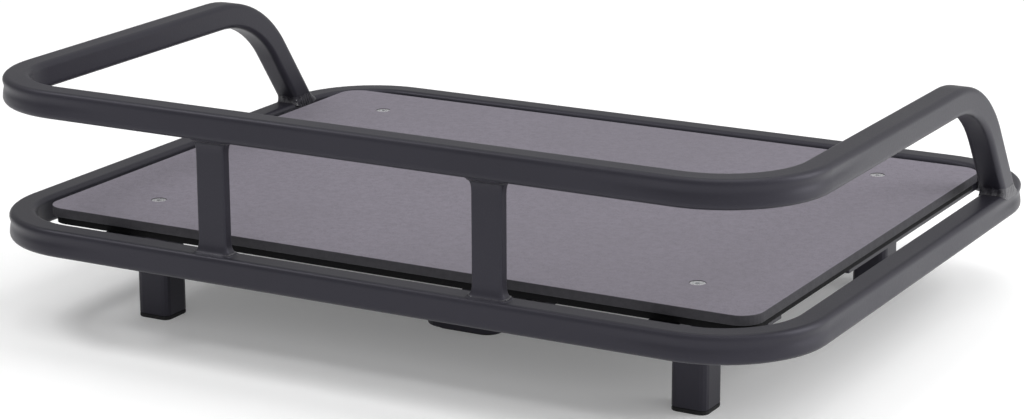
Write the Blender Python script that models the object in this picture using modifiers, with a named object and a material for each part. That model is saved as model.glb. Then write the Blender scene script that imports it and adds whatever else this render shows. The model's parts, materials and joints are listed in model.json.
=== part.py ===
"""Luggage tray for a cycle carrier: a welded square-tube frame with a flat deck.

The base ring carries a guard rail along its front and sides, stands on four
square legs, and holds a deck plate screwed down over a support sheet.
X runs along the front, Y to the back and Z up. The origin is on the ground,
under the centre of the ring. Sizes are in millimetres and scaled by MM.
"""
import math

import bmesh
import bpy
from mathutils import Vector

MM = 0.001
GAP = 0.3                     # clearance between neighbouring solids

# Square tube of the ring, the rail and its posts
TUBE = 18.0
TUBE_RADIUS = 3.6
TUBE_WALL = 1.5
TUBE_CORNER_STEPS = 3
BEND_RADIUS = 60.0            # centre line
BEND_STEPS = 9

# Plan of the base ring, measured outside
RING_LENGTH = 570.0
RING_DEPTH = 452.0

# Heights above the ground
DECK_TOP = 78.0
RING_MID = 66.5
RAIL_MID = 156.7

# Guard rail and the flat bars that carry its front
RAIL_DROP_START = 46.0        # where each side begins to bend down, along Y
RAIL_DROP_RADIUS = 88.0       # a wider bend than those of the plan
RAIL_DROP_ANGLE = 54.5        # steepness of the falling end, in degrees
RAIL_DROP_STEPS = 8
POST_OFFSET = 96.5
POST_WIDTH = 20.5
POST_DEPTH = 6.7
POST_EDGE = 1.2

# Deck plate
DECK_LENGTH = 503.0
DECK_DEPTH = 375.0
DECK_THICK = 6.2
DECK_RADIUS = 14.5
DECK_EDGE = 1.5
CORNER_STEPS = 8

# Support sheet under the deck
SHEET_THICK = 4.8
SHEET_INSET = 3.0

# Legs, set out under the deck screws
LEG_X = 194.0
LEG_Y = 140.0
LEG_SIZE = 24.0
LEG_RADIUS = 4.5
FOOT_FLANGE = 2.7
FOOT_EDGE = 0.9
FOOT_PLUG_TOP = 16.0

# Flat bars under the deck
BAR_WIDTH = 20.0
BAR_HEIGHT = 5.5
BAR_EDGE = 0.6
BAR_REACH = 244.0             # outer face of the side bars and end of the front bar
SIDE_BAR_FRONT = -28.0
CENTRE_BAR_WIDTH = 30.0

# Central mounting plate, carried by two stems under the centre bar
STEM_Y = 60.0
MOUNT_WIDTH = 58.0
MOUNT_DEPTH = 176.0
MOUNT_THICK = 5.0
MOUNT_RADIUS = 16.0
PAD_MARGIN = 6.0              # the pad stops this far inside the plate
PAD_BOTTOM = 1.0
PAD_THICK = 2.4
MOUNT_HOLE_RADIUS = 3.3
MOUNT_HOLE_X = 16.0
MOUNT_HOLE_Y = 20.0

# M5 countersunk deck screws and the nuts under the bars, inside the legs
HEAD_RADIUS = 4.8
HEAD_LIP = 0.4
SHANK_RADIUS = 2.4
SCREW_LENGTH = 22.0
SOCKET_RADIUS = 1.7
SOCKET_DEPTH = 1.6
HOLE_RADIUS = 2.8
NUT_RADIUS = 4.6
NUT_HEIGHT = 4.0
DRAIN_RADIUS = 2.5
ROUND_STEPS = 24

HALF_TUBE = TUBE / 2
RING_X = RING_LENGTH / 2 - HALF_TUBE
RING_Y = RING_DEPTH / 2 - HALF_TUBE
RING_TOP = RING_MID + HALF_TUBE
RAIL_BOTTOM = RAIL_MID - HALF_TUBE
SHEET_TOP = DECK_TOP - DECK_THICK - GAP
SHEET_BOTTOM = SHEET_TOP - SHEET_THICK
BAR_TOP = SHEET_BOTTOM - GAP
BAR_MID = BAR_TOP - BAR_HEIGHT / 2
BAR_BOTTOM = BAR_TOP - BAR_HEIGHT
BAR_FRONT = LEG_Y - BAR_WIDTH / 2
SIDE_BAR_X = BAR_REACH - BAR_WIDTH / 2
LEG_TOP = BAR_BOTTOM - GAP
LEG_BOTTOM = FOOT_FLANGE + GAP
PAD_TOP = PAD_BOTTOM + PAD_THICK
MOUNT_BOTTOM = PAD_TOP + GAP
MOUNT_TOP = MOUNT_BOTTOM + MOUNT_THICK

SIDES = (("left", -1), ("right", 1))
ENDS = (("front", -1), ("rear", 1))


# ---------------------------------------------------------------- scene set-up

def clear_scene():
    for obj in list(bpy.data.objects):
        bpy.data.objects.remove(obj, do_unlink=True)


def new_collection(name):
    collection = bpy.data.collections.new(name)
    bpy.context.scene.collection.children.link(collection)
    return collection


def new_material(name, colour, roughness, metallic):
    material = bpy.data.materials.new(name)
    material.use_nodes = True
    shader = material.node_tree.nodes["Principled BSDF"]
    shader.inputs["Base Color"].default_value = (*colour, 1.0)
    shader.inputs["Roughness"].default_value = roughness
    shader.inputs["Metallic"].default_value = metallic
    return material


def coat_material():
    return new_material("charcoal_coat", (0.045, 0.043, 0.050), 0.45, 0.2)


def deck_material():
    return new_material("deck_laminate", (0.20, 0.19, 0.21), 0.6, 0.0)


def sheet_material():
    return new_material("support_sheet", (0.012, 0.012, 0.014), 0.6, 0.0)


def rubber_material():
    return new_material("black_rubber", (0.014, 0.014, 0.016), 0.8, 0.0)


def steel_material():
    return new_material("zinc_steel", (0.55, 0.55, 0.56), 0.3, 1.0)


# ------------------------------------------------------------- outline helpers

def arc(centre, radius, start, end, steps):
    """Points of an arc in a plane, from start to end in degrees."""
    points = []
    for step in range(steps + 1):
        angle = math.radians(start + (end - start) * step / steps)
        points.append((centre[0] + radius * math.cos(angle), centre[1] + radius * math.sin(angle)))
    return points


def rounded_rectangle(length, depth, radius, steps):
    points = []
    for x_sign, y_sign, start in ((1, 1, 0), (-1, 1, 90), (-1, -1, 180), (1, -1, 270)):
        centre = (x_sign * (length / 2 - radius), y_sign * (depth / 2 - radius))
        points += arc(centre, radius, start, start + 90, steps)
    return points


def circle(centre, radius, steps=ROUND_STEPS):
    return arc(centre, radius, 0, 360 - 360 / steps, steps - 1)


def tube_outlines(width, height, radius, wall):
    outer = rounded_rectangle(width, height, radius, TUBE_CORNER_STEPS)
    inner = rounded_rectangle(width - 2 * wall, height - 2 * wall, max(radius - wall, 0.5), 1)
    return [outer, inner]


# --------------------------------------------------------------- solid builders

def add_spline(curve, points, cyclic):
    spline = curve.splines.new("POLY")
    spline.points.add(len(points) - 1)
    for target, point in zip(spline.points, points):
        coordinates = [value * MM for value in point] + [0.0] * (3 - len(point))
        target.co = (*coordinates, 1.0)
    spline.use_cyclic_u = cyclic


def curve_to_mesh(curve_object, name, weld=0.00001):
    """Turn a curve object into a welded mesh object and remove the curve."""
    bpy.context.view_layer.update()
    evaluated = curve_object.evaluated_get(bpy.context.evaluated_depsgraph_get())
    mesh = bpy.data.meshes.new_from_object(evaluated)
    matrix = curve_object.matrix_world.copy()
    bpy.data.objects.remove(curve_object, do_unlink=True)
    work = bmesh.new()
    work.from_mesh(mesh)
    bmesh.ops.remove_doubles(work, verts=work.verts, dist=weld)
    bmesh.ops.recalc_face_normals(work, faces=work.faces)
    work.to_mesh(mesh)
    work.free()
    mesh.materials.clear()
    result = bpy.data.objects.new(name, mesh)
    result.matrix_world = matrix
    return result


def shade(obj, angle=35.0):
    obj.data.shade_smooth()
    obj.data.set_sharp_from_angle(angle=math.radians(angle))


def finish_part(obj, collection, material):
    if obj.name not in collection.objects:
        collection.objects.link(obj)
    obj.data.materials.clear()
    obj.data.materials.append(material)
    shade(obj)
    return obj


def prism(name, outlines, thickness, collection, centre):
    """A flat outline, with any holes inside it, given a thickness about its centre."""
    curve = bpy.data.curves.new(name, "CURVE")
    curve.dimensions = "2D"
    curve.fill_mode = "BOTH"
    curve.extrude = thickness / 2 * MM
    for outline in outlines:
        add_spline(curve, outline, True)
    curve_object = bpy.data.objects.new(name, curve)
    collection.objects.link(curve_object)
    obj = curve_to_mesh(curve_object, name)
    collection.objects.link(obj)
    obj.location = Vector(centre) * MM
    return obj


def swept_tube(name, path, cyclic, collection):
    """A hollow square tube along a path: its outer skin, thickened inwards."""
    section = bpy.data.curves.new(name + "_section", "CURVE")
    section.dimensions = "2D"
    add_spline(section, rounded_rectangle(TUBE, TUBE, TUBE_RADIUS, TUBE_CORNER_STEPS), True)
    section_object = bpy.data.objects.new(name + "_section", section)
    collection.objects.link(section_object)
    curve = bpy.data.curves.new(name, "CURVE")
    curve.dimensions = "3D"
    curve.twist_mode = "Z_UP"
    curve.bevel_mode = "OBJECT"
    curve.bevel_object = section_object
    add_spline(curve, path, cyclic)
    curve_object = bpy.data.objects.new(name, curve)
    collection.objects.link(curve_object)
    obj = curve_to_mesh(curve_object, name)
    bpy.data.objects.remove(section_object, do_unlink=True)
    collection.objects.link(obj)
    shell = obj.modifiers.new("wall", "SOLIDIFY")
    shell.thickness = TUBE_WALL * MM
    shell.offset = -1.0
    return obj


def turned(name, profile, collection, centre):
    """A body turned about Z from a profile of radius and height, listed top to bottom."""
    mesh = bpy.data.meshes.new(name)
    vertices = [(radius * MM, 0.0, height * MM) for radius, height in profile]
    edges = [(index, index + 1) for index in range(len(profile) - 1)]
    mesh.from_pydata(vertices, edges, [])
    obj = bpy.data.objects.new(name, mesh)
    collection.objects.link(obj)
    obj.location = Vector(centre) * MM
    screw = obj.modifiers.new("turn", "SCREW")
    screw.steps = ROUND_STEPS
    screw.render_steps = ROUND_STEPS
    screw.use_merge_vertices = True
    screw.merge_threshold = 0.00001
    screw.use_smooth_shade = True
    return obj


def round_edges(obj, width, segments=2, angle=60.0):
    bevel = obj.modifiers.new("round", "BEVEL")
    bevel.width = width * MM
    bevel.segments = segments
    bevel.limit_method = "ANGLE"
    bevel.angle_limit = math.radians(angle)


def as_cutter(obj):
    obj.hide_render = True
    obj.display_type = "WIRE"
    return obj


def boolean(obj, other, operation="DIFFERENCE"):
    modifier = obj.modifiers.new(other.name, "BOOLEAN")
    modifier.operation = operation
    modifier.object = other
    modifier.solver = "EXACT"


def cylinder_cutter(name, radius, height, cutters, centre):
    return as_cutter(prism(name, [circle((0, 0), radius)], height, cutters, centre))


# ------------------------------------------------------------------- tube frame

def ring_path():
    points = rounded_rectangle(2 * RING_X, 2 * RING_Y, BEND_RADIUS, BEND_STEPS)
    return [(x, y, RING_MID) for x, y in points]


def make_base_ring(parts, cutters, material):
    """The closed ring. Two drain holes open its hollow under the rear side."""
    ring = swept_tube("base_ring", ring_path(), True, parts)
    for side, x_sign in SIDES:
        centre = (x_sign * POST_OFFSET, RING_Y, RING_MID - HALF_TUBE)
        hole = cylinder_cutter(f"drain_{side}", DRAIN_RADIUS, HALF_TUBE, cutters, centre)
        boolean(ring, hole)
    finish_part(ring, parts, material)


def rail_side(x_sign):
    """One side of the rail, from its falling rear end up and forward to the front bend."""
    drop = math.radians(RAIL_DROP_ANGLE)
    centre = (RAIL_DROP_START, RAIL_MID - RAIL_DROP_RADIUS)
    bend = arc(centre, RAIL_DROP_RADIUS, 90 - RAIL_DROP_ANGLE, 90, RAIL_DROP_STEPS)
    end_y, end_z = bend[0]
    fall = end_z - RING_MID
    foot = (end_y + fall / math.tan(drop), RING_MID)
    points = [(x_sign * RING_X, y, z) for y, z in [foot] + bend]
    return points


def rail_path():
    corner = (RING_X - BEND_RADIUS, -(RING_Y - BEND_RADIUS))
    right_front = [(x, y, RAIL_MID) for x, y in arc(corner, BEND_RADIUS, 0, -90, BEND_STEPS)]
    left_front = [(-x, y, z) for x, y, z in reversed(right_front)]
    return rail_side(1) + right_front + left_front + list(reversed(rail_side(-1)))


def make_guard_rail(parts, cutters, material):
    rail = swept_tube("guard_rail", rail_path(), False, parts)
    size = (RING_LENGTH + TUBE, RING_DEPTH + TUBE)
    base = rounded_rectangle(*size, TUBE_RADIUS, 1)
    ground = as_cutter(prism("rail_end_cut", [base], TUBE * 2, cutters, (0, 0, RING_TOP + GAP - TUBE)))
    boolean(rail, ground)
    finish_part(rail, parts, material)


def make_rail_posts(parts, material):
    low = RING_TOP + GAP
    high = RAIL_BOTTOM - GAP
    outline = rounded_rectangle(POST_WIDTH, POST_DEPTH, POST_EDGE, TUBE_CORNER_STEPS)
    for side, x_sign in SIDES:
        centre = (x_sign * POST_OFFSET, -RING_Y, (low + high) / 2)
        post = prism(f"rail_post_{side}", [outline], high - low, parts, centre)
        finish_part(post, parts, material)


# ------------------------------------------------------ members under the deck

def flat_bar(name, size, centre, parts):
    """A solid flat bar with its length and width in plan."""
    outline = [rounded_rectangle(*size, BAR_EDGE, 2)]
    return prism(name, outline, BAR_HEIGHT, parts, (*centre, BAR_MID))


def drill_bar(bar, end, y_sign, cutters):
    for side, x_sign in SIDES:
        centre = (x_sign * LEG_X, y_sign * LEG_Y, BAR_MID)
        hole = cylinder_cutter(f"bar_hole_{end}_{side}", HOLE_RADIUS, 2 * BAR_HEIGHT, cutters, centre)
        boolean(bar, hole)


def make_cross_bars(parts, cutters, material):
    """The front bar reaches out under the deck, the rear bar fits between the side bars."""
    front = flat_bar("cross_bar_front", (2 * BAR_REACH, BAR_WIDTH), (0, -LEG_Y), parts)
    drill_bar(front, "front", -1, cutters)
    finish_part(front, parts, material)
    reach = BAR_REACH - BAR_WIDTH - GAP
    rear = flat_bar("cross_bar_rear", (2 * reach, BAR_WIDTH), (0, LEG_Y), parts)
    drill_bar(rear, "rear", 1, cutters)
    finish_part(rear, parts, material)


def side_bar_rear():
    """Where the outer edge of a side bar stops short of the ring's rear bend."""
    inside = BEND_RADIUS - HALF_TUBE
    across = BAR_REACH - (RING_X - BEND_RADIUS)
    return RING_Y - BEND_RADIUS + math.sqrt(inside ** 2 - across ** 2) - 2 * GAP


def make_side_bars(parts, material):
    """Two bars under the deck's ends, from its middle back to the rear of the ring."""
    rear = side_bar_rear()
    for side, x_sign in SIDES:
        centre = (x_sign * SIDE_BAR_X, (SIDE_BAR_FRONT + rear) / 2)
        bar = flat_bar(f"side_bar_{side}", (BAR_WIDTH, rear - SIDE_BAR_FRONT), centre, parts)
        finish_part(bar, parts, material)


def make_stub_bars(parts, material):
    """Two short bars that tie the front bar to the front of the ring."""
    near = LEG_Y + BAR_WIDTH / 2 + GAP
    far = RING_Y - HALF_TUBE - GAP
    for side, x_sign in SIDES:
        centre = (x_sign * LEG_X, -(near + far) / 2)
        stub = flat_bar(f"stub_bar_{side}", (BAR_WIDTH, far - near), centre, parts)
        finish_part(stub, parts, material)


def make_centre_bar(parts, material):
    size = (CENTRE_BAR_WIDTH, 2 * (BAR_FRONT - GAP))
    finish_part(flat_bar("centre_bar", size, (0, 0), parts), parts, material)


def make_mount_stems(parts, material):
    low = MOUNT_TOP + GAP
    high = BAR_BOTTOM - GAP
    outlines = tube_outlines(TUBE, TUBE, TUBE_RADIUS, TUBE_WALL)
    for end, y_sign in ENDS:
        centre = (0, y_sign * STEM_Y, (low + high) / 2)
        stem = prism(f"mount_stem_{end}", outlines, high - low, parts, centre)
        finish_part(stem, parts, material)


def mount_outlines(margin):
    size = (MOUNT_WIDTH - 2 * margin, MOUNT_DEPTH - 2 * margin)
    outlines = [rounded_rectangle(*size, MOUNT_RADIUS - margin, CORNER_STEPS)]
    for x_sign in (-1, 1):
        for y_sign in (-1, 1):
            centre = (x_sign * MOUNT_HOLE_X, y_sign * MOUNT_HOLE_Y)
            outlines.append(circle(centre, MOUNT_HOLE_RADIUS))
    return outlines


def make_mount_plate(parts, plate_material, pad_material):
    """The plate that bolts to the carrier, and the rubber pad under it."""
    centre = (0, 0, (MOUNT_BOTTOM + MOUNT_TOP) / 2)
    plate = prism("mount_plate", mount_outlines(0.0), MOUNT_THICK, parts, centre)
    finish_part(plate, parts, plate_material)
    centre = (0, 0, (PAD_BOTTOM + PAD_TOP) / 2)
    pad = prism("mount_pad", mount_outlines(PAD_MARGIN), PAD_THICK, parts, centre)
    finish_part(pad, parts, pad_material)


# ------------------------------------------------------------------ deck layers

def make_deck_plate(parts, cutters, material):
    outline = rounded_rectangle(DECK_LENGTH, DECK_DEPTH, DECK_RADIUS, CORNER_STEPS)
    deck = prism("deck_plate", [outline], DECK_THICK, parts, (0, 0, DECK_TOP - DECK_THICK / 2))
    round_edges(deck, DECK_EDGE)
    mouth = HEAD_RADIUS + GAP
    over = 1.0
    profile = [
        (0, over),
        (mouth, over),
        (mouth, -HEAD_LIP),
        (HOLE_RADIUS, -HEAD_LIP - (mouth - HOLE_RADIUS)),
        (HOLE_RADIUS, -DECK_THICK - over),
        (0, -DECK_THICK - over),
    ]
    for side, x_sign in SIDES:
        for end, y_sign in ENDS:
            centre = (x_sign * LEG_X, y_sign * LEG_Y, DECK_TOP)
            sink = as_cutter(turned(f"countersink_{end}_{side}", profile, cutters, centre))
            boolean(deck, sink)
    finish_part(deck, parts, material)


def make_support_sheet(parts, material):
    size = (DECK_LENGTH - 2 * SHEET_INSET, DECK_DEPTH - 2 * SHEET_INSET)
    outlines = [rounded_rectangle(*size, DECK_RADIUS - SHEET_INSET, CORNER_STEPS)]
    for x_sign in (-1, 1):
        for y_sign in (-1, 1):
            outlines.append(circle((x_sign * LEG_X, y_sign * LEG_Y), HOLE_RADIUS))
    centre = (0, 0, (SHEET_TOP + SHEET_BOTTOM) / 2)
    sheet = prism("support_sheet", outlines, SHEET_THICK, parts, centre)
    finish_part(sheet, parts, material)


# ---------------------------------------------------------------- legs and feet

def make_leg(side, end, x, y, parts, material):
    outlines = tube_outlines(LEG_SIZE, LEG_SIZE, LEG_RADIUS, TUBE_WALL)
    centre = (x, y, (LEG_TOP + LEG_BOTTOM) / 2)
    leg = prism(f"leg_{end}_{side}", outlines, LEG_TOP - LEG_BOTTOM, parts, centre)
    finish_part(leg, parts, material)


def make_foot_cap(side, end, x, y, parts, cutters, material):
    """A plug with a flange as wide as the leg, rounded where it meets the ground."""
    name = f"foot_cap_{end}_{side}"
    flange = [rounded_rectangle(LEG_SIZE, LEG_SIZE, LEG_RADIUS, TUBE_CORNER_STEPS)]
    cap = prism(name, flange, FOOT_FLANGE, parts, (x, y, FOOT_FLANGE / 2))
    round_edges(cap, FOOT_EDGE)
    width = LEG_SIZE - 2 * TUBE_WALL - 2 * GAP
    low = FOOT_FLANGE - 1.0
    plug_outline = [rounded_rectangle(width, width, LEG_RADIUS - TUBE_WALL, 1)]
    centre = (x, y, (low + FOOT_PLUG_TOP) / 2)
    plug = prism(name + "_plug", plug_outline, FOOT_PLUG_TOP - low, cutters, centre)
    boolean(cap, as_cutter(plug), "UNION")
    finish_part(cap, parts, material)


# -------------------------------------------------------------------- fasteners

def make_deck_screw(side, end, x, y, parts, cutters, material):
    top = DECK_TOP - GAP
    profile = [
        (0, 0),
        (HEAD_RADIUS, 0),
        (HEAD_RADIUS, -HEAD_LIP),
        (SHANK_RADIUS, -HEAD_LIP - (HEAD_RADIUS - SHANK_RADIUS)),
        (SHANK_RADIUS, -SCREW_LENGTH),
        (0, -SCREW_LENGTH),
    ]
    name = f"deck_screw_{end}_{side}"
    screw = turned(name, profile, parts, (x, y, top))
    socket = [circle((0, 0), SOCKET_RADIUS, 6)]
    cutter = prism(name + "_socket", socket, 2 * SOCKET_DEPTH, cutters, (x, y, top))
    boolean(screw, as_cutter(cutter))
    finish_part(screw, parts, material)


def make_deck_nut(side, end, x, y, parts, material):
    outlines = [circle((0, 0), NUT_RADIUS, 6), circle((0, 0), HOLE_RADIUS)]
    top = BAR_BOTTOM - GAP
    nut = prism(f"deck_nut_{end}_{side}", outlines, NUT_HEIGHT, parts, (x, y, top - NUT_HEIGHT / 2))
    finish_part(nut, parts, material)


def main():
    clear_scene()
    parts = new_collection("luggage_tray")
    cutters = new_collection("cutters")
    coat = coat_material()
    rubber = rubber_material()
    steel = steel_material()
    make_base_ring(parts, cutters, coat)
    make_guard_rail(parts, cutters, coat)
    make_rail_posts(parts, coat)
    make_cross_bars(parts, cutters, coat)
    make_side_bars(parts, coat)
    make_stub_bars(parts, coat)
    make_centre_bar(parts, coat)
    make_mount_stems(parts, coat)
    make_mount_plate(parts, coat, rubber)
    make_deck_plate(parts, cutters, deck_material())
    make_support_sheet(parts, sheet_material())
    for side, x_sign in SIDES:
        for end, y_sign in ENDS:
            x = x_sign * LEG_X
            y = y_sign * LEG_Y
            make_leg(side, end, x, y, parts, coat)
            make_foot_cap(side, end, x, y, parts, cutters, rubber)
            make_deck_screw(side, end, x, y, parts, cutters, steel)
            make_deck_nut(side, end, x, y, parts, steel)


main()
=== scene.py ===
"""Looks for the luggage tray: bent tubes, weld beads, deck board, screws, feet and studio."""

import json
import math

import bmesh
import bpy
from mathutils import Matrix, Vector, noise


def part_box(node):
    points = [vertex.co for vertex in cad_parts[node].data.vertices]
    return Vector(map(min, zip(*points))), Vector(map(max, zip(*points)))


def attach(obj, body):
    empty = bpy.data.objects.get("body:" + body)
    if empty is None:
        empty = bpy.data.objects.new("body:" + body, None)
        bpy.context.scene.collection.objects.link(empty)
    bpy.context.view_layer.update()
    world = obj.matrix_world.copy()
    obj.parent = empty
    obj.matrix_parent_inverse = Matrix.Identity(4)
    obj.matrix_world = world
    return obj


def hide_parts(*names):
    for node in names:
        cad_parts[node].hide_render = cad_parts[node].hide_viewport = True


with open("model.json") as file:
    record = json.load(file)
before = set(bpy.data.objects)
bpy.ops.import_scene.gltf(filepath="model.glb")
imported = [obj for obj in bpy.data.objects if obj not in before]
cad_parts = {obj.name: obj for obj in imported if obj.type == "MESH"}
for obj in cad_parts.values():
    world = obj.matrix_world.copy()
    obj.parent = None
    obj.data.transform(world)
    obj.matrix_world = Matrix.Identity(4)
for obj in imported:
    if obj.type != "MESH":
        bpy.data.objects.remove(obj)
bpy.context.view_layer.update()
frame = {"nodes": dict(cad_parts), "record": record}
nodes = frame["nodes"]

MM = 0.001
ROOT = "root"

# Tube and frame sizes, in millimetres, as the CAD has them
TUBE = 18.0
HALF_TUBE = TUBE / 2
TUBE_RADIUS = 3.6
BEND_RADIUS = 60.0
RING_MID = 66.5
RAIL_MID = 156.7
RAIL_DROP_START = 46.0
RAIL_DROP_RADIUS = 88.0
RAIL_DROP_ANGLE = 54.5
WELD_ROOM = 0.35              # how far the falls lean in, so that their welds stay in the ring's width
POST_OFFSET = 96.5

COAT_DARK = (0.0126, 0.0120, 0.0168)
COAT_LIGHT = (0.0165, 0.0157, 0.0216)


def mm_box(node):
    low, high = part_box(node)
    return low / MM, high / MM


ring_high = mm_box("base_ring")[1]
RING_X = ring_high.x - HALF_TUBE
RING_Y = ring_high.y - HALF_TUBE
RING_TOP = RING_MID + HALF_TUBE
RAIL_BOTTOM = RAIL_MID - HALF_TUBE


# ------------------------------------------------------------------ node helpers

class Graph:
    """A small helper that adds nodes to a material and links them."""

    def __init__(self, name):
        self.material = bpy.data.materials.new(name)
        self.material.use_nodes = True
        self.tree = self.material.node_tree
        self.shader = self.tree.nodes["Principled BSDF"]
        self.coordinates = self.add("ShaderNodeTexCoord").outputs["Object"]

    def add(self, kind, **settings):
        node = self.tree.nodes.new(kind)
        for key, value in settings.items():
            setattr(node, key, value)
        return node

    def link(self, source, target):
        self.tree.links.new(source, target)

    def fill(self, socket, value):
        if isinstance(value, bpy.types.NodeSocket):
            self.link(value, socket)
        else:
            socket.default_value = value

    def noise(self, scale, detail=3.0, roughness=0.5, vector=None):
        node = self.add("ShaderNodeTexNoise")
        self.link(vector or self.coordinates, node.inputs["Vector"])
        node.inputs["Scale"].default_value = scale
        node.inputs["Detail"].default_value = detail
        node.inputs["Roughness"].default_value = roughness
        return node.outputs["Fac"]

    def math(self, operation, first, second=0.0, clamp=False):
        node = self.add("ShaderNodeMath", operation=operation, use_clamp=clamp)
        self.fill(node.inputs[0], first)
        self.fill(node.inputs[1], second)
        return node.outputs[0]

    def span(self, value, low, high, to_low=0.0, to_high=1.0):
        node = self.add("ShaderNodeMapRange")
        node.clamp = True
        self.fill(node.inputs["Value"], value)
        for key, number in (("From Min", low), ("From Max", high), ("To Min", to_low), ("To Max", to_high)):
            node.inputs[key].default_value = number
        return node.outputs["Result"]

    def mix(self, factor, first, second):
        node = self.add("ShaderNodeMix", data_type="RGBA")
        self.fill(node.inputs["Factor"], factor)
        for socket, value in ((node.inputs[6], first), (node.inputs[7], second)):
            self.fill(socket, value if isinstance(value, bpy.types.NodeSocket) else (*value, 1.0))
        return node.outputs[2]

    def bump(self, height, strength, distance, normal=None):
        node = self.add("ShaderNodeBump")
        self.link(height, node.inputs["Height"])
        node.inputs["Strength"].default_value = strength
        node.inputs["Distance"].default_value = distance
        if normal is not None:
            self.link(normal, node.inputs["Normal"])
        return node.outputs["Normal"]

    def set(self, **values):
        for key, value in values.items():
            socket = self.shader.inputs[key.replace("_", " ")]
            if isinstance(value, tuple):
                value = (*value, 1.0)
            self.fill(socket, value)
        return self.material


def coat_material():
    """Charcoal powder coat: fine orange peel, a faint cloudiness and small worn specks."""
    g = Graph("charcoal_coat")
    cloud = g.span(g.noise(9.0, 2.0), 0.35, 0.65)
    grain = g.noise(1500.0, 2.0, 0.6)
    colour = g.mix(cloud, COAT_DARK, COAT_LIGHT)
    speck = g.span(grain, 0.62, 0.72, 0.0, 0.30)
    colour = g.mix(speck, colour, (0.052, 0.050, 0.060))
    peel = g.noise(620.0, 2.0, 0.5)
    normal = g.bump(peel, 0.10, 0.0004)
    normal = g.bump(grain, 0.06, 0.0002, normal)
    rough = g.math("ADD", g.span(cloud, 0.0, 1.0, 0.36, 0.43), g.span(grain, 0.4, 0.7, 0.0, 0.06))
    return g.set(
        Base_Color=colour,
        Roughness=rough,
        Normal=normal,
        Specular_IOR_Level=0.37,
        Specular_Tint=(0.88, 0.86, 1.0),
    )


def weld_material():
    """Weld under the same coat, glossier over its ripples, with bright specks painted on as glints off the
    ripples.
    """
    g = Graph("coated_weld")
    patch = g.noise(420.0, 3.0, 0.6)
    # painted highlight: sparse bright specks stand in for glints off the weld ripples
    speck = g.span(g.noise(700.0, 3.0, 0.7), 0.67, 0.71)
    colour = g.mix(g.span(patch, 0.3, 0.7), COAT_DARK, (0.045, 0.043, 0.052))
    colour = g.mix(speck, colour, (0.42, 0.42, 0.44))
    normal = g.bump(patch, 0.35, 0.0006)
    rough = g.span(patch, 0.3, 0.7, 0.24, 0.40)
    return g.set(Base_Color=colour, Roughness=rough, Normal=normal)


def deck_material():
    """Board with a fine embossed film on top and a darker sealed edge."""
    g = Graph("deck_laminate")
    geometry = g.add("ShaderNodeNewGeometry")
    up = g.add("ShaderNodeSeparateXYZ")
    g.link(geometry.outputs["Normal"], up.inputs[0])
    top = g.span(up.outputs["Z"], 0.72, 0.95)
    fibre = g.noise(950.0, 3.0, 0.7)
    mottle = g.noise(240.0, 3.0, 0.6)
    cloud = g.noise(7.0, 2.0)
    film = g.mix(g.span(mottle, 0.3, 0.7), (0.118, 0.106, 0.131), (0.176, 0.160, 0.194))
    film = g.mix(g.span(fibre, 0.40, 0.62, 0.0, 0.75), film, (0.232, 0.214, 0.254))
    film = g.mix(g.span(cloud, 0.3, 0.7, 0.0, 0.35), film, (0.145, 0.134, 0.156))
    edge = g.mix(g.span(mottle, 0.3, 0.7), (0.045, 0.0435, 0.050), (0.060, 0.058, 0.066))
    colour = g.mix(top, edge, film)
    normal = g.bump(fibre, 0.35, 0.0004)
    normal = g.bump(mottle, 0.2, 0.0004, normal)
    rough = g.span(fibre, 0.3, 0.7, 0.52, 0.68)
    return g.set(Base_Color=colour, Roughness=rough, Normal=normal, Specular_IOR_Level=0.35)


def sheet_painted_shade_material():
    """Matt sheet, near-black as painted shade for the shadow under the deck, with a fine, even grain."""
    g = Graph("support_sheet")
    grain = g.noise(700.0, 3.0, 0.6)
    # painted shade: the near-black colour stands in for the shadow under the deck
    colour = g.mix(g.span(grain, 0.3, 0.7), (0.003, 0.003, 0.0036), (0.006, 0.006, 0.0070))
    rough = g.span(grain, 0.3, 0.7, 0.6, 0.8)
    normal = g.bump(grain, 0.3, 0.0004)
    return g.set(Base_Color=colour, Roughness=rough, Normal=normal, Specular_IOR_Level=0.15)


def rubber_material():
    """Black moulded rubber with a little dust on it."""
    g = Graph("black_rubber")
    grain = g.noise(1100.0, 2.0, 0.6)
    dust = g.span(g.noise(60.0, 3.0), 0.5, 0.75, 0.0, 0.5)
    colour = g.mix(dust, (0.008, 0.008, 0.009), (0.022, 0.0215, 0.023))
    rough = g.span(grain, 0.3, 0.7, 0.6, 0.8)
    normal = g.bump(grain, 0.25, 0.0003)
    return g.set(Base_Color=colour, Roughness=rough, Normal=normal, Specular_IOR_Level=0.3)


def zinc_material():
    """Bright zinc with light scratches."""
    g = Graph("zinc_steel")
    scratch = g.noise(800.0, 3.0, 0.6)
    colour = g.mix(g.span(scratch, 0.3, 0.7), (0.62, 0.62, 0.64), (0.80, 0.80, 0.82))
    return g.set(
        Base_Color=colour,
        Metallic=1.0,
        Roughness=g.span(scratch, 0.3, 0.7, 0.22, 0.38),
        Normal=g.bump(scratch, 0.15, 0.0002),
    )


# ----------------------------------------------------------------- mesh helpers

def new_piece(name, mesh, material, replaced=()):
    piece = bpy.data.objects.new(name, mesh)
    bpy.context.scene.collection.objects.link(piece)
    mesh.materials.append(material)
    mesh.shade_smooth()
    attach(piece, ROOT)
    if replaced:
        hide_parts(*replaced)
    return piece


SHARP_ANGLE = 40.0            # edges steeper than this many degrees stay sharp


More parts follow.
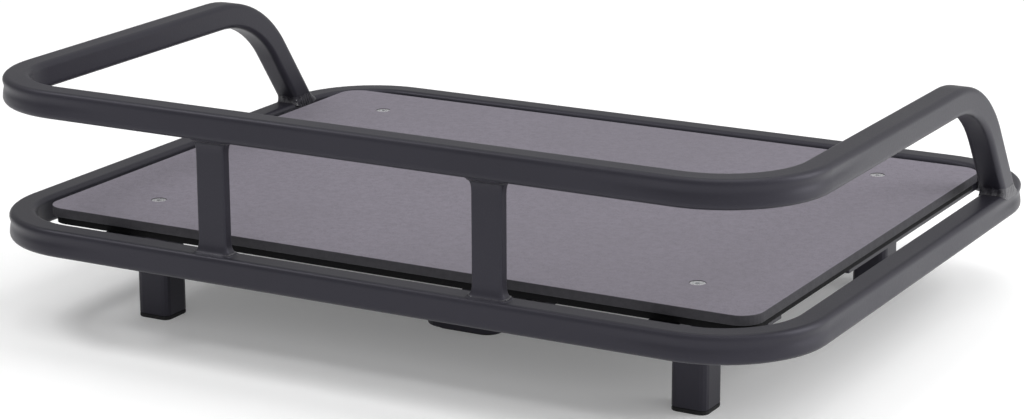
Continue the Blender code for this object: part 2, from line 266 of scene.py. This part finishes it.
def loft(rings, closed):
    """A mesh through rings of points, each ring closed; the ends are capped if the path is open."""
    count = len(rings[0])
    vertices = [tuple(point * MM) for ring in rings for point in ring]
    faces = []
    spans = len(rings) if closed else len(rings) - 1
    for i in range(spans):
        a = i * count
        b = ((i + 1) % len(rings)) * count
        for j in range(count):
            k = (j + 1) % count
            faces.append((a + j, a + k, b + k, b + j))
    if not closed:
        faces.append(tuple(range(count - 1, -1, -1)))
        last = (len(rings) - 1) * count
        faces.append(tuple(range(last, last + count)))
    mesh = bpy.data.meshes.new("loft")
    mesh.from_pydata(vertices, [], faces)
    work = bmesh.new()
    work.from_mesh(mesh)
    bmesh.ops.recalc_face_normals(work, faces=work.faces)
    work.to_mesh(mesh)
    work.free()
    mesh.set_sharp_from_angle(angle=math.radians(SHARP_ANGLE))
    return mesh


def square_section(size, radius, corner_steps, flat_steps):
    """Points of a rounded square, counter-clockwise, as (side, up)."""
    half = size / 2
    points = []
    for side, up, start in ((1, 1, 0), (-1, 1, 90), (-1, -1, 180), (1, -1, 270)):
        centre = (side * (half - radius), up * (half - radius))
        for step in range(corner_steps + 1):
            angle = math.radians(start + 90 * step / corner_steps)
            points.append((centre[0] + radius * math.cos(angle), centre[1] + radius * math.sin(angle)))
        here = points[-1]
        turn = math.radians(start + 90)
        along = (-math.sin(turn), math.cos(turn))
        length = 2 * (half - radius)
        for step in range(1, flat_steps):
            t = length * step / flat_steps
            points.append((here[0] + along[0] * t, here[1] + along[1] * t))
    return points


SECTION = square_section(TUBE, TUBE_RADIUS, corner_steps=6, flat_steps=14)
PINCH_DEPTH = 0.85            # how far the outer wall of a bend is pressed in
PINCH_WIDTH = 3.0
PINCH_HEIGHT = 1.6            # the press line lies a little above the middle
PINCH_FADE = 52.0             # how far it runs out into the straight tube
SWELL = 0.10                  # how far a bend's outer wall dips between press line and edges
SWELL_HEIGHT = 6.0
SWELL_WIDTH = 2.0


class Path:
    """Stations along a tube: where it is, which way it runs, and how much it is pinched."""

    def __init__(self):
        self.stations = []

    def add(self, point, tangent, outward, pinch):
        self.stations.append((Vector(point), Vector(tangent).normalized(), Vector(outward), pinch))

    def straight(self, start, end, outward_start, outward_end, steps=16):
        """A straight run whose ends carry the fading press line of the bends they leave."""
        start, end = Vector(start), Vector(end)
        run = end - start
        length = run.length
        for step in range(1, steps):
            t = 0.5 - 0.5 * math.cos(math.pi * step / steps)
            near = max(0.0, 1 - t * length / PINCH_FADE) if outward_start else 0.0
            far = max(0.0, 1 - (1 - t) * length / PINCH_FADE) if outward_end else 0.0
            outward = outward_start if near >= far else outward_end
            amount = max(near, far)
            self.add(start + run * t, run, outward or (0, 0, 0), amount * amount * (3 - 2 * amount))

    def bend(self, centre, first, second, start, end, steps=18, radius=BEND_RADIUS, pinch=1.0):
        """An arc about centre from start to end degrees, in the plane of two axes."""
        first, second, centre = Vector(first), Vector(second), Vector(centre)
        sign = 1 if end > start else -1
        for step in range(steps + 1):
            angle = math.radians(start + (end - start) * step / steps)
            out = first * math.cos(angle) + second * math.sin(angle)
            along = (second * math.cos(angle) - first * math.sin(angle)) * sign
            self.add(centre + out * radius, along, out, pinch)


def pinched(side, up, level):
    """Offset of a wall point, where side is how far out it lies and up its height."""
    if side <= HALF_TUBE - TUBE_RADIUS - 0.01:
        return 0.0
    share = (side - (HALF_TUBE - TUBE_RADIUS)) / TUBE_RADIUS
    press = math.exp(-(((up - PINCH_HEIGHT) / PINCH_WIDTH) ** 2))
    swell = math.exp(-(((abs(up) - SWELL_HEIGHT) / SWELL_WIDTH) ** 2))
    return level * share * (SWELL * (swell - 1) - PINCH_DEPTH * press)


def tube_rings(path):
    rings = []
    for point, tangent, outward, level in path.stations:
        side = tangent.cross(Vector((0, 0, 1))).normalized()
        up = side.cross(tangent)
        ring = []
        for s, u in SECTION:
            offset = side * s + up * u
            if level > 0:
                out = outward - tangent * outward.dot(tangent)
                out.normalize()
                cross = tangent.cross(out)
                if cross.z < 0 or (abs(cross.z) < 0.5 and cross.x < 0):
                    cross = -cross
                offset = offset + out * pinched(offset.dot(out), offset.dot(cross), level)
            ring.append(point + offset)
        rings.append(ring)
    return rings


X_AXIS = Vector((1, 0, 0))
Y_AXIS = Vector((0, 1, 0))
Z_AXIS = Vector((0, 0, 1))


def ring_path():
    path = Path()
    inner_x = RING_X - BEND_RADIUS
    inner_y = RING_Y - BEND_RADIUS
    corners = [
        (inner_x, inner_y, 0),
        (-inner_x, inner_y, 90),
        (-inner_x, -inner_y, 180),
        (inner_x, -inner_y, 270),
    ]
    for index, (x, y, start) in enumerate(corners):
        path.bend((x, y, RING_MID), X_AXIS, Y_AXIS, start, start + 90)
        here = path.stations[-1]
        nx, ny, nstart = corners[(index + 1) % 4]
        angle = math.radians(nstart)
        target = Vector((nx + BEND_RADIUS * math.cos(angle), ny + BEND_RADIUS * math.sin(angle), RING_MID))
        path.straight(here[0], target, here[2], Vector((math.cos(angle), math.sin(angle), 0)), 20)
    return path


def rail_side_points(side):
    """Key points of one falling side: foot on the ring, then the rear bend's two ends."""
    drop = math.radians(RAIL_DROP_ANGLE)
    centre = Vector((side * RING_X, RAIL_DROP_START, RAIL_MID - RAIL_DROP_RADIUS))
    low = centre + Vector((0, math.sin(drop), math.cos(drop))) * RAIL_DROP_RADIUS
    foot_z = RING_TOP - 1.0
    foot_x = low.x - side * WELD_ROOM
    foot = Vector((foot_x, low.y + (low.z - foot_z) / math.tan(drop), foot_z))
    return centre, low, foot


def rail_path():
    path = Path()
    corner_x = RING_X - BEND_RADIUS
    corner_y = -(RING_Y - BEND_RADIUS)
    centre, low, foot = rail_side_points(1)
    path.add(foot, low - foot, (0, 0, 0), 0.0)
    path.straight(foot, low, None, None, 8)
    path.bend(centre, Y_AXIS, Z_AXIS, 90 - RAIL_DROP_ANGLE, 90, 20, RAIL_DROP_RADIUS, 0.0)
    end = path.stations[-1][0]
    path.straight(end, (RING_X, corner_y, RAIL_MID), None, X_AXIS, 20)
    path.bend((corner_x, corner_y, RAIL_MID), X_AXIS, Y_AXIS, 0, -90)
    end = path.stations[-1][0]
    path.straight(end, (-corner_x, -RING_Y, RAIL_MID), -Y_AXIS, -Y_AXIS, 28)
    path.bend((-corner_x, corner_y, RAIL_MID), X_AXIS, Y_AXIS, -90, -180)
    centre, low, foot = rail_side_points(-1)
    end = path.stations[-1][0]
    path.straight(end, centre + Z_AXIS * RAIL_DROP_RADIUS, -X_AXIS, None, 20)
    path.bend(centre, Y_AXIS, Z_AXIS, 90, 90 - RAIL_DROP_ANGLE, 20, RAIL_DROP_RADIUS, 0.0)
    path.straight(low, foot, None, None, 8)
    path.add(foot, foot - low, (0, 0, 0), 0.0)
    return path


def make_tubes(coat):
    new_piece("ring_tube", loft(tube_rings(ring_path()), True), coat, ["base_ring"])
    new_piece("rail_tube", loft(tube_rings(rail_path()), False), coat, ["guard_rail"])


# ------------------------------------------------------------------------ welds

WOBBLE_SCALE = 0.35           # how quickly a bead's unevenness changes along it
WOBBLE_SHIFT = 0.35
WOBBLE_SWELL = 0.12
SCALE_MIDDLE = 0.6            # height in a scale's dome that keeps the bead's own radius


def bead_mesh(points, normals, radii, seed, ripple=0.16, pitch=2.1, sides=10):
    """A weld bead along a closed loop: a rope of overlapping scales of uneven size."""
    count = len(points)
    rings = []
    travelled = 0.0
    for i in range(count):
        here = points[i]
        ahead = points[(i + 1) % count]
        behind = points[i - 1]
        tangent = (ahead - behind).normalized()
        out = normals[i]
        cross = tangent.cross(out).normalized()
        wobble = noise.noise(here * WOBBLE_SCALE + Vector((seed, 0, 0)))
        phase = (travelled / pitch + WOBBLE_SHIFT * wobble) % 1.0
        dome = math.sqrt(1 - (2 * phase - 1) ** 2)
        scale = 1 + ripple * (dome - SCALE_MIDDLE) + WOBBLE_SWELL * wobble
        radius = radii[i] * scale
        ring = []
        for k in range(sides):
            angle = 2 * math.pi * k / sides
            ring.append(here + (out * math.cos(angle) + cross * math.sin(angle)) * radius)
        rings.append(ring)
        travelled += (ahead - here).length
    return loft(rings, True)


def loop_round(centre, half_x, half_y, radius, z, step=0.45):
    """Points and outward normals round a rounded rectangle at height z."""
    points = []
    normals = []
    corners = ((1, 1, 0), (-1, 1, 90), (-1, -1, 180), (1, -1, 270))
    for index, (sx, sy, start) in enumerate(corners):
        cx = centre[0] + sx * (half_x - radius)
        cy = centre[1] + sy * (half_y - radius)
        arc_steps = max(3, int(radius * math.pi / 2 / step))
        for k in range(arc_steps):
            angle = math.radians(start + 90 * k / arc_steps)
            normal = Vector((math.cos(angle), math.sin(angle), 0))
            points.append(Vector((cx, cy, z)) + normal * radius)
            normals.append(normal)
        angle = math.radians(start + 90)
        normal = Vector((math.cos(angle), math.sin(angle), 0))
        begin = Vector((cx, cy, z)) + normal * radius
        run = 2 * ((half_x if index % 2 == 0 else half_y) - radius)
        along = Vector((-normal.y, normal.x, 0))
        for k in range(int(run / step)):
            points.append(begin + along * (k * step))
            normals.append(normal)
    return points, normals


POST_EDGE = 1.2               # rounding of the flat bars' long edges
POST_SPREAD = 4.2             # how far a bar's fillet reaches where it meets a tube
POST_FADE = 2.0               # how fast that fillet narrows away from the tube
POST_SUNK = 3.0               # how far a bar runs into each tube
POST_HEIGHTS = (-POST_SUNK, 0.0, 0.7, 1.5, 2.5, 4.0, 6.0, 9.0)


def post_loop(name, sign):
    """The flat bar's outline round its own axis, with its outward normals."""
    low, high = mm_box(f"rail_post_{name}")
    half = (high - low) / 2
    return loop_round((sign * POST_OFFSET, -RING_Y), half.x, half.y, POST_EDGE, 0.0)


def post_spread(height):
    return POST_SPREAD * math.exp(-max(height, 0.0) / POST_FADE)


def make_posts(coat):
    """Flat bars that run a little into both tubes and widen into a dressed fillet at each end."""
    for name, sign in (("left", -1), ("right", 1)):
        points, normals = post_loop(name, sign)
        levels = [(RING_TOP + height, height) for height in POST_HEIGHTS]
        levels += [(RAIL_BOTTOM - height, height) for height in reversed(POST_HEIGHTS)]
        rings = []
        for z, height in levels:
            lift = Z_AXIS * z
            rings.append([p + n * post_spread(height) + lift for p, n in zip(points, normals)])
        new_piece(f"post_bar_{name}", loft(rings, False), coat, [f"rail_post_{name}"])


POST_BEAD = 0.85              # weld bead at a bar's two narrow sides
POST_BEAD_HEIGHT = 0.9        # how far the bead lies from the tube
POST_BEAD_SUNK = 0.35         # how deep it lies in the fillet
POST_BEAD_RIPPLE = 0.30
POST_BEAD_PITCH = 1.9
POST_BEAD_FRONT = 0.30        # what is left of it where the front and back are dressed


def make_post_welds(weld):
    """A small bead in each fillet, full at the narrow sides and dressed away in front and behind."""
    for name, sign in (("left", -1), ("right", 1)):
        points, normals = post_loop(name, sign)
        for level, z, way in (("low", RING_TOP, 1), ("high", RAIL_BOTTOM, -1)):
            reach = post_spread(POST_BEAD_HEIGHT) - POST_BEAD_SUNK
            lift = Z_AXIS * (z + way * POST_BEAD_HEIGHT)
            shifted = [p + n * reach + lift for p, n in zip(points, normals)]
            radii = [POST_BEAD_FRONT + (POST_BEAD - POST_BEAD_FRONT) * n.x ** 2 for n in normals]
            seed = 3.0 * sign + z
            mesh = bead_mesh(shifted, normals, radii, seed, POST_BEAD_RIPPLE, POST_BEAD_PITCH)
            new_piece(f"weld_post_{name}_{level}", mesh, weld)


LANDING_RISE = 7.5            # how far the weld climbs the falling tube
LANDING_FLARE = 3.6           # how far it spreads over the ring, front and back
LANDING_LAP = 3.8             # how far it laps down the ring's rounded sides
RIB_PITCH = 2.3
RIB_HEIGHT = 0.45
LANDING_SKIN = 0.12           # least thickness of the weld over the tubes
LANDING_SWELL = 0.35          # most that its ribs stand out
LANDING_INSET = 0.02          # how far it stays inside the ring's width
# Share of the rise and share of the flare, from the ring up the falling tube
LANDING_LEVELS = ((0.0, 1.0), (0.22, 0.62), (0.48, 0.30), (0.74, 0.10), (1.0, 0.0))


def landing_mesh(side):
    """A broad weld where a falling end meets the ring: flared front and back, ribbed at its sides."""
    drop = math.radians(RAIL_DROP_ANGLE)
    foot = rail_side_points(side)[2]
    axis = Vector((0, -math.cos(drop), math.sin(drop)))
    across = X_AXIS
    up = axis.cross(across)
    section = square_section(TUBE, TUBE_RADIUS, corner_steps=10, flat_steps=44)
    count = len(section)
    rings = [[] for level in LANDING_LEVELS]
    travelled = 0.0
    for index, (s_value, u_value) in enumerate(section):
        before = section[index - 1]
        after = section[(index + 1) % count]
        tangent = Vector((after[0] - before[0], after[1] - before[1])).normalized()
        outward = Vector((tangent.y, -tangent.x))
        travelled += math.hypot(s_value - before[0], u_value - before[1])
        sideways = abs(outward.x)
        offset = across * s_value + up * u_value
        meet = foot + offset
        meet = meet + axis * ((RING_TOP - meet.z) / axis.z)
        level_out = (across * outward.x + up * outward.y)
        level_out.z = 0
        level_out.normalize()
        rib = RIB_HEIGHT * (abs(math.sin(math.pi * travelled / RIB_PITCH)) - 0.5)
        wobble = noise.noise(Vector((travelled * 0.3, side * 7.0, 1.0)))
        rise = LANDING_RISE * (0.8 + 0.25 * wobble)
        for ring, (height, spread) in zip(rings, LANDING_LEVELS):
            flare = LANDING_FLARE * spread * (1 - 0.93 * sideways ** 2) * (1 + 0.2 * wobble)
            lap = -(0.8 + (LANDING_LAP - 0.8) * sideways ** 2) * (1 - height)
            swell = (rib + 0.15) * (1 - height ** 2) * (0.35 + 0.65 * sideways)
            outer = level_out * (flare + LANDING_SKIN + min(swell, LANDING_SWELL))
            point = meet + axis * (rise * height) + Vector((0, 0, lap)) + outer
            limit = RING_X + HALF_TUBE - LANDING_INSET
            point.x = max(-limit, min(limit, point.x))
            ring.append(point)
    return loft(rings, False)


def make_landing_welds(weld):
    for name, side in (("left", -1), ("right", 1)):
        new_piece(f"weld_landing_{name}", landing_mesh(side), weld)


STEM_BEAD = 1.7
STEM_RIPPLE = 0.22


def make_stem_welds(weld):
    """Beads round both ends of the two stems over the mounting plate."""
    for name in ("mount_stem_front", "mount_stem_rear"):
        low, high = mm_box(name)
        middle = (low + high) / 2
        for level, z in (("low", low.z), ("high", high.z)):
            points, normals = loop_round(middle, HALF_TUBE, HALF_TUBE, TUBE_RADIUS, z)
            radii = [STEM_BEAD] * len(points)
            mesh = bead_mesh(points, normals, radii, middle.y + z, STEM_RIPPLE)
            new_piece(f"weld_{name}_{level}", mesh, weld)


# --------------------------------------------------------------- camera and room

WORLD_BRIGHT_WAY = (0.90, -0.20, 0.15)
WORLD_DIM = 0.30
WORLD_BRIGHT = 1.05
FLOOR_GLOW = 0.16
FLOOR_REACH = 9.0

SENSOR_WIDTH = 36.0
CAMERA_LENS = 102.235
CAMERA_PLACE = (0.89348, -1.62606, 0.58143)
CAMERA_TURN = (74.377, 0.190, 28.967)     # degrees
CLIP_END = 50.0

# Name, place, the point it faces, size in metres and power in watts
LIGHTS = (
    ("top_box", (0.2, 0.1, 2.1), (0, 0.0, 0.05), (2.2, 1.6), 14.0),
    ("right_box", (1.05, 0.25, 0.52), (0.28, 0, 0.12), (0.5, 0.9), 5.5),
    ("edge_box", (-1.1, -0.45, 1.6), (0, 0, 0.1), (0.5, 0.5), 6.0),
)


def make_camera():
    data = bpy.data.cameras.new("view")
    data.sensor_width = SENSOR_WIDTH
    data.lens = CAMERA_LENS
    data.clip_end = CLIP_END
    camera = bpy.data.objects.new("view", data)
    camera.location = CAMERA_PLACE
    camera.rotation_euler = [math.radians(angle) for angle in CAMERA_TURN]
    bpy.context.scene.collection.objects.link(camera)
    bpy.context.scene.camera = camera


def area_light(name, location, target, size, power):
    data = bpy.data.lights.new(name, "AREA")
    data.shape = "RECTANGLE"
    data.size, data.size_y = size
    data.energy = power
    light = bpy.data.objects.new(name, data)
    light.location = location
    aim = Vector(target) - Vector(location)
    light.rotation_euler = aim.to_track_quat("-Z", "Y").to_euler()
    bpy.context.scene.collection.objects.link(light)


def make_floor():
    mesh = bpy.data.meshes.new("floor")
    corners = [(x * FLOOR_REACH, y * FLOOR_REACH, 0) for x, y in ((-1, -1), (1, -1), (1, 1), (-1, 1))]
    mesh.from_pydata(corners, [], [(0, 1, 2, 3)])
    floor = bpy.data.objects.new("floor", mesh)
    bpy.context.scene.collection.objects.link(floor)
    g = Graph("floor_paper")
    paper = g.noise(40.0, 2.0)
    colour = g.mix(paper, (0.88, 0.88, 0.88), (0.90, 0.90, 0.90))
    g.set(Base_Color=colour, Roughness=0.9, Specular_IOR_Level=0.2)
    g.set(Emission_Color=(1.0, 1.0, 1.0), Emission_Strength=FLOOR_GLOW)
    mesh.materials.append(g.material)


def make_world():
    """A pale room that is brighter towards the right than towards the left."""
    world = bpy.data.worlds.new("studio")
    world.use_nodes = True
    tree = world.node_tree
    background = tree.nodes["Background"]
    coordinates = tree.nodes.new("ShaderNodeTexCoord")
    along = tree.nodes.new("ShaderNodeVectorMath")
    along.operation = "DOT_PRODUCT"
    along.inputs[1].default_value = WORLD_BRIGHT_WAY
    span = tree.nodes.new("ShaderNodeMapRange")
    span.inputs["From Min"].default_value = -1.0
    span.inputs["From Max"].default_value = 1.0
    span.inputs["To Min"].default_value = WORLD_DIM
    span.inputs["To Max"].default_value = WORLD_BRIGHT
    tree.links.new(coordinates.outputs["Generated"], along.inputs[0])
    tree.links.new(along.outputs["Value"], span.inputs["Value"])
    tree.links.new(span.outputs["Result"], background.inputs["Strength"])
    background.inputs["Color"].default_value = (1.0, 1.0, 1.0, 1.0)
    bpy.context.scene.world = world


def make_room():
    make_floor()
    make_world()
    for light in LIGHTS:
        area_light(*light)
    scene = bpy.context.scene
    scene.view_settings.view_transform = "Standard"
    scene.view_settings.look = "None"


def dress_nodes(materials):
    """Every CAD node that stays gets the finished material of its slot."""
    for name, node in nodes.items():
        if node.hide_render:
            continue
        for entry in frame["record"]["subparts"]:
            if entry["node"] == name:
                slot = entry["material_slot"]
        node.data.materials.clear()
        node.data.materials.append(materials[slot])


def main():
    make_camera()
    make_room()
    coat = coat_material()
    materials = {
        "coated_tube": coat,
        "deck_board": deck_material(),
        "black_sheet": sheet_painted_shade_material(),
        "black_rubber": rubber_material(),
        "zinc_steel": zinc_material(),
    }
    make_tubes(coat)
    make_posts(coat)
    weld = weld_material()
    make_post_welds(weld)
    make_landing_welds(weld)
    make_stem_welds(weld)
    dress_nodes(materials)


main()
